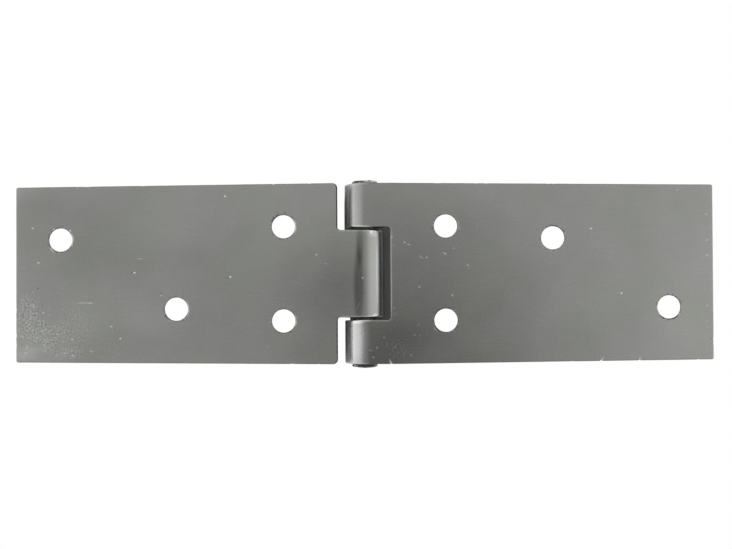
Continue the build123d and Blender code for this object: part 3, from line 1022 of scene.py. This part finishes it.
def leaf_steel(name, look, film, patches):
    """Material of a leaf: dull rolled steel with its painted shading, patches, dents and punched edges, with
    painted light and shade in some of the patches.
    """
    material, nodes = new_material(name)
    place = nodes.add("ShaderNodeUVMap", uv_map="flat sheet").outputs[0]
    rim_distance = nodes.attribute("rim_distance")
    dent = nodes.attribute("dent")
    knuckle = nodes.attribute("knuckle")
    grain = nodes.group(rolled_grain, {"Place": place})
    edges = nodes.group(edge_shade_and_wear, {"Place": place, "Rim distance": rim_distance, "Dark width": 0.42})
    wall = nodes.product(nodes.span(nodes.attribute("depth"), 0.25, 0.45), nodes.fade(rim_distance, 0.2, 0.3))
    marks = {kind: patches_of(nodes, place, patches, kind) for kind in patch_kinds}
    rough = nodes.math("MINIMUM", marks["pitted"], 1.0)
    pits = nodes.noise(place, 1.9, 3.0, 0.7)

    tone = leaf_tone(nodes, place, grain, film, marks, nodes.rest(knuckle))
    pale_specks = nodes.span(pits, 0.54, 0.66, 0.0, 0.8)
    dark_specks = nodes.span(pits, 0.34, 0.45, -0.5, 0.0)
    speckle = nodes.product(nodes.math("ADD", pale_specks, dark_specks), rough)
    tone = nodes.product(tone, nodes.math("ADD", 1.0, speckle))

    tint = nodes.span(nodes.noise(place, 0.045, 2.0, 0.4), 0.42, 0.62)
    colour = nodes.mix(tint, look.steel, look.olive)
    # Painted highlights, glints and reflection lines on the knuckles.
    colour = nodes.mix(marks["painted_knuckle_highlights"], colour, look.highlight_and_burnish)
    colour = nodes.mix(nodes.product(edges["Pale"], 0.06), colour, look.rubbed)
    colour = nodes.scaled(colour, tone)
    colour = edge_colour(nodes, look, place, colour, marks, rim_distance, edges["Dark"], wall)
    colour = dent_colour(nodes, look, colour, dent)

    roughness = nodes.span(grain["Grain"], 0.25, 0.75, 0.35, 0.42)
    roughness = nodes.math("SUBTRACT", roughness, nodes.product(knuckle, 0.16))
    roughness = nodes.math("SUBTRACT", roughness, nodes.product(dent, 0.05), clamp=True)

    height = nodes.product(grain["Grain"], nodes.span(knuckle, 0.0, 0.3, 0.25, 0.06))
    height = nodes.math("ADD", height, nodes.product(grain["Streaks"], 0.1))
    height = nodes.math("ADD", height, nodes.product(pits, rough, 8.0))
    shear = nodes.noise(place, 4.0, 3.0, 0.7)
    height = nodes.math("ADD", height, nodes.product(shear, wall, 2.0))
    inputs = {"Base Color": colour, "Roughness": roughness, "Metallic": 1.0}
    put_on_metal(nodes, inputs, height, relief=0.012 * mm)
    return material


def pin_steel(look):
    """Material of the pin: bare wire, with heads that are dark with scale between the hammer marks."""
    material, nodes = new_material("pin_steel")
    place = nodes.scaled(nodes.add("ShaderNodeTexCoord").outputs["Object"], 1 / mm)
    inputs = {
        "Place": place, "Cloud size": 2.0, "Streak length": 1.2, "Streak width": 1.2, "Grain size": 0.35,
    }
    grain = nodes.group(rolled_grain, inputs)
    mottle = nodes.span(nodes.noise(place, 1.6, 3.0, 0.6), 0.38, 0.48, 0.8, 0.0)
    scaled = nodes.product(mottle, nodes.attribute("head"))
    for middle, size in head_scale:
        scaled = nodes.math("MAXIMUM", scaled, patch(nodes, place, middle, size, head_scale_fading))
    tone = nodes.math("ADD", nodes.swing(grain["Grain"], 0.3, 0.7, 0.2), 1.0)
    inputs = {
        "Base Color": nodes.scaled(nodes.mix(scaled, look.steel, look.scale), tone),
        "Roughness": nodes.math("MULTIPLY_ADD", scaled, 0.3, nodes.span(grain["Grain"], 0.3, 0.7, 0.3, 0.45)),
        "Metallic": nodes.math("MULTIPLY_ADD", scaled, -0.95, 1.0),
        "Specular IOR Level": 0.2,
    }
    put_on_metal(nodes, inputs, nodes.math("ADD", grain["Grain"], grain["Clouds"]), relief=0.04 * mm)
    return material


def in_metres(table, columns):
    """A table as an array, with its first columns turned from mm into metres."""
    rows = np.array(table, float)
    rows[:, :columns] *= mm
    return rows


def dress_leaf(piece, flat, attributes):
    """Gives a leaf's mesh its map of the flat sheet, and the attributes that its material reads."""
    new_map(piece.data, flat)
    for name, values in attributes.items():
        new_attribute(piece.data, name, values)


class HINGE_OT_leaves(bpy.types.Operator):
    """Build both leaves, each rolled from its own punched sheet."""

    bl_idname = "hinge.leaves"
    bl_label = "Leaves"

    def execute(self, context):
        look = context.scene.hinge_sheet
        steel = leaf_steel("leaf_steel_one", look, one_knuckle_shading, one_knuckle_patches)
        holes = [(-x, -y) for x, y in hole_places("one_knuckle")]
        dents, nicks = in_metres(one_knuckle_dents, 4), in_metres(one_knuckle_nicks, 4)
        points, faces, flat, attributes = punched_leaf(look, one_knuckle_outline(look), holes, dents, nicks)
        points[:, :2] *= -1
        piece = new_piece(
            "one_knuckle_leaf_steel", points, faces, "one_knuckle_side", "one_knuckle_leaf", steel,
        )
        dress_leaf(piece, flat, attributes)

        steel = leaf_steel("leaf_steel_two", look, two_knuckle_shading, two_knuckle_patches)
        holes = hole_places("two_knuckle")
        dents, nicks = in_metres(two_knuckle_dents, 4), in_metres(two_knuckle_nicks, 4)
        points, faces, flat, attributes = punched_leaf(look, two_knuckle_outline(look), holes, dents, nicks)
        piece = new_piece(
            "two_knuckle_leaf_steel", points, faces, "two_knuckle_side", "two_knuckle_leaf", steel,
        )
        dress_leaf(piece, flat, attributes)
        return {"FINISHED"}


def hammered(along, radius, angle, facets):
    """Heights along the pin's axis, cut down to flat facets where a hammer struck.

    Facet j is the plane head_top - drop_j + lean_j * radius * cos(angle - angle_j). The lowest one is kept.
    """
    drop, lean, where = np.array(facets, float).T
    planes = head_top - drop * mm + lean * radius[..., None] * np.cos(angle[:, None] - np.radians(where))
    return np.minimum(along, planes.min(-1))


def pin_half(look, angle, facets):
    """Half the pin as rings from its middle to the pole of one head: their radii, and how far out they are.

    The dome's radius is head_radius cos a, and it rises above the head's rim as (sin a) ** 0.8. The head is
    out of round by waves of two and five to the turn.
    """
    radius = look.diameter / 2
    rim_top = half_width + look.head_rim
    arc = np.linspace(0, tau / 4, 14)
    dome_radii = head_radius * np.cos(arc)
    dome_heights = rim_top + (head_top - rim_top) * np.sin(arc) ** 0.8
    rim_radii = [head_radius - 0.18 * mm, head_radius - 0.03 * mm]
    radii = np.concatenate([[radius, radius], rim_radii, dome_radii])[:, None]
    heights = np.concatenate([[0, half_width], [half_width, half_width + 0.12 * mm], dome_heights])[:, None]
    out_of_round = 1 - 0.012 * (1 + np.sin(2 * angle - 1.57)) - 0.003 * (1 + np.sin(5 * angle + 2))
    radii = radii * np.where(heights > half_width, out_of_round, 1)
    along = heights + 0 * angle
    struck = hammered(along, radii, angle, facets)
    return radii, np.where(heights > rim_top - 0.01 * mm, struck, along)


def turned_faces(rows, columns):
    """Faces between closed rings, and a fan from each end ring to its pole, whose points come last."""
    index = np.arange(rows * columns).reshape(rows, columns)
    after = np.roll(index, -1, 1)
    low_pole = np.full(columns, rows * columns)
    quads = np.stack([index[:-1], index[1:], after[1:], after[:-1]], -1).reshape(-1, 4)
    low_fan = np.stack([low_pole, index[0], after[0]], 1)
    high_fan = np.stack([low_pole + 1, after[-1], index[-1]], 1)
    return [quads, low_fan, high_fan]


class HINGE_OT_pin(bpy.types.Operator):
    """Build the pin with its two hammered heads."""

    bl_idname = "hinge.pin"
    bl_label = "Pin"

    def execute(self, context):
        look = context.scene.hinge_pin
        angle = np.linspace(0, tau, pin_steps, endpoint=False)
        low_radii, low_out = pin_half(look, angle, low_head_facets)
        high_radii, high_out = pin_half(look, angle, high_head_facets)
        radii = np.concatenate([low_radii[-2::-1], high_radii[1:-1]])
        along = np.concatenate([-low_out[-2::-1], high_out[1:-1]])
        leaning = 0.3 * mm * np.clip((along - half_width) / (head_top - half_width), 0, 1)
        x = radii * np.cos(angle) + leaning
        z = axis_height + radii * np.sin(angle)
        poles = [
            [0, -low_out[-1].mean(), axis_height],
            [leaning.max(), high_out[-1].mean(), axis_height],
        ]
        points = np.concatenate([np.stack([x, along, z], -1).reshape(-1, 3), poles])
        piece = new_piece(
            "hinge_pin_steel", points, turned_faces(*radii.shape), "two_knuckle_side", "hinge_pin",
            pin_steel(look),
        )
        on_head = np.abs(points[:, 1]) > half_width - 0.2 * mm
        new_attribute(piece.data, "head", on_head.astype(float))
        return {"FINISHED"}


def studio_world(look):
    """The light: dim overhead, where the camera hangs, and bright at the sides, by direction alone."""
    world = bpy.data.worlds.new("studio")
    world.use_nodes = True
    bpy.context.scene.world = world
    nodes = Nodes(world.node_tree)
    way = nodes.add("ShaderNodeTexCoord").outputs["Generated"]
    parts = nodes.add("ShaderNodeSeparateXYZ", {0: way}).outputs
    upward = nodes.add("ShaderNodeVectorMath", {0: way, 1: dimmest_way}, operation="DOT_PRODUCT")
    from_dim = nodes.math("ARCCOSINE", nodes.math("MINIMUM", upward.outputs["Value"], 1.0))
    ramp = nodes.add("ShaderNodeValToRGB", {"Fac": nodes.math("DIVIDE", from_dim, tau / 4)})
    elements = ramp.color_ramp.elements
    while len(elements) < len(light_levels):
        elements.new(0.5)
    for element, (place, level) in zip(elements, light_levels):
        element.position = place
        element.color = (level, level, level, 1)
    level = nodes.product(ramp.outputs["Color"], 2.0)
    level = nodes.product(level, nodes.span(nodes.math("ABSOLUTE", parts["Y"]), 0.45, 0.95, 1.0, 0.6))
    sky = nodes.add("ShaderNodeCombineColor", {"Red": level, "Green": level, "Blue": level}).outputs[0]
    lit = nodes.add("ShaderNodeBackground", {"Color": sky, "Strength": look.light}).outputs[0]
    white = nodes.add("ShaderNodeBackground", {"Color": (1, 1, 1, 1), "Strength": 1.0}).outputs[0]
    seen = nodes.add("ShaderNodeLightPath").outputs["Is Camera Ray"]
    mixed = nodes.add("ShaderNodeMixShader", {0: seen, 1: lit, 2: white}).outputs[0]
    nodes.add("ShaderNodeOutputWorld", {"Surface": mixed})


def unseen_floor(nodes, place, parts, within, up, leaf_holes):
    """Where the leaves hide the floor from above: under them, less holes and shoulder gaps."""
    hidden = nodes.product(within, nodes.fade(up, half_width - 6 * mm, half_width - 2 * mm))
    for x, y in leaf_holes:
        far = nodes.length(nodes.vector("SUBTRACT", place, (x * seen_through, y * seen_through, 0)))
        hidden = nodes.product(hidden, nodes.span(far, 4.0 * mm, 5.5 * mm))
    low_half = nodes.math("LESS_THAN", parts["Y"], 0.0)
    gap_end = nodes.math("ADD", -5.7 * mm, nodes.product(low_half, 1.5 * mm))
    past_gap = nodes.math("SUBTRACT", parts["X"], gap_end)
    in_gap = nodes.product(
        nodes.fade(past_gap, -0.05 * mm, 0.05 * mm),
        nodes.span(parts["X"], -11 * mm, -10 * mm),
        nodes.span(up, 12.0 * mm, 12.3 * mm),
    )
    return nodes.product(hidden, nodes.rest(in_gap))


def white_floor(leaf_holes):
    """Floor material: white to the camera all round and through the holes, and lit paint under the leaves
    that takes their shadow, with a painted shadow round the knuckles.
    """
    material, nodes = new_material("white_floor")
    place = nodes.add("ShaderNodeTexCoord").outputs["Object"]
    parts = nodes.add("ShaderNodeSeparateXYZ", {0: place}).outputs
    across = nodes.math("ABSOLUTE", parts["X"])
    up = nodes.math("ABSOLUTE", parts["Y"])
    within = nodes.fade(across, leaf_reach - 10 * mm, leaf_reach - 3 * mm)
    hidden = unseen_floor(nodes, place, parts, within, up, leaf_holes)
    beneath = nodes.product(within, nodes.fade(up, half_width - 1 * mm, half_width + 4 * mm))
    path = nodes.add("ShaderNodeLightPath").outputs
    mirrored = nodes.math("MAXIMUM", path["Is Glossy Ray"], path["Is Transmission Ray"])
    to_camera = nodes.product(path["Is Camera Ray"], nodes.rest(hidden))
    to_gloss = nodes.product(mirrored, nodes.rest(beneath))
    glow = nodes.math("MAXIMUM", to_camera, to_gloss)

    # Painted shadow: the paint darkens round the knuckles, under the hinge.
    off_knuckles = nodes.math("ABSOLUTE", nodes.math("ADD", parts["X"], 2 * mm))
    shade = nodes.fade(off_knuckles, 11 * mm, 18 * mm)
    shade = nodes.product(shade, nodes.fade(up, half_width - 5 * mm, half_width))
    tint = nodes.mix(shade, (0.86, 0.86, 0.86), (0.38, 0.38, 0.37))
    paint = nodes.add("ShaderNodeBsdfDiffuse", {"Color": tint}).outputs[0]
    white = nodes.add("ShaderNodeEmission", {"Color": (1, 1, 1, 1), "Strength": 1.0}).outputs[0]
    top = nodes.add("ShaderNodeMixShader", {0: glow, 1: paint, 2: white}).outputs[0]
    clear = nodes.add("ShaderNodeBsdfTransparent").outputs[0]
    from_below = nodes.add("ShaderNodeNewGeometry").outputs["Backfacing"]
    came_through = nodes.math("GREATER_THAN", path["Transparent Depth"], 0.5)
    open_below = nodes.math("MAXIMUM", from_below, came_through)
    surface = nodes.add("ShaderNodeMixShader", {0: open_below, 1: top, 2: clear}).outputs[0]
    nodes.add("ShaderNodeOutputMaterial", {"Surface": surface})
    return material


class HINGE_OT_stage(bpy.types.Operator):
    """Lay the white floor, light the studio and hang the camera overhead."""

    bl_idname = "hinge.stage"
    bl_label = "Stage"

    def execute(self, context):
        look = context.scene.hinge_stage
        scene = context.scene
        half = look.floor_size / 2
        mesh = bpy.data.meshes.new("floor")
        corners = [(-half, -half, 0), (half, -half, 0), (half, half, 0), (-half, half, 0)]
        mesh.from_pydata(corners, [], [(0, 1, 2, 3)])
        mesh.materials.append(white_floor(hole_places("one_knuckle") + hole_places("two_knuckle")))
        floor = bpy.data.objects.new("floor", mesh)
        scene.collection.objects.link(floor)
        studio_world(look)

        lens = bpy.data.cameras.new("camera")
        lens.lens = look.lens
        lens.sensor_width = 36
        lens.clip_start = 0.01
        camera = bpy.data.objects.new("camera", lens)
        away = look.camera_height
        aim_x, aim_y = 0.27 * mm, -0.31 * mm
        camera.location = (aim_x, aim_y - away * sin(look.tilt), outer_face + away * cos(look.tilt))
        camera.rotation_euler = (look.tilt, 0, -look.turn)
        scene.collection.objects.link(camera)
        scene.camera = camera
        scene.view_settings.view_transform = "Standard"
        return {"FINISHED"}


class HINGE_PT_parts(bpy.types.Panel):
    """The hinge's pieces and stage, with their sizes and colours."""

    bl_label = "Strap Hinge"
    bl_space_type = "VIEW_3D"
    bl_region_type = "UI"
    bl_category = "Strap Hinge"

    def draw(self, context):
        for operator, settings in (
            (HINGE_OT_leaves, context.scene.hinge_sheet),
            (HINGE_OT_pin, context.scene.hinge_pin),
            (HINGE_OT_stage, context.scene.hinge_stage),
        ):
            box = self.layout.box()
            box.operator(operator.bl_idname)
            for name in settings.__annotations__:
                box.prop(settings, name)


classes = (SheetLook, PinLook, StageLook, HINGE_OT_leaves, HINGE_OT_pin, HINGE_OT_stage, HINGE_PT_parts)


def register():
    for cls in classes:
        bpy.utils.register_class(cls)
    bpy.types.Scene.hinge_sheet = PointerProperty(type=SheetLook)
    bpy.types.Scene.hinge_pin = PointerProperty(type=PinLook)
    bpy.types.Scene.hinge_stage = PointerProperty(type=StageLook)


def unregister():
    del bpy.types.Scene.hinge_sheet
    del bpy.types.Scene.hinge_pin
    del bpy.types.Scene.hinge_stage
    for cls in reversed(classes):
        bpy.utils.unregister_class(cls)


def main():
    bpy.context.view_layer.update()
    register()
    bpy.ops.hinge.leaves()
    bpy.ops.hinge.pin()
    bpy.ops.hinge.stage()


if __name__ == "__main__":
    main()
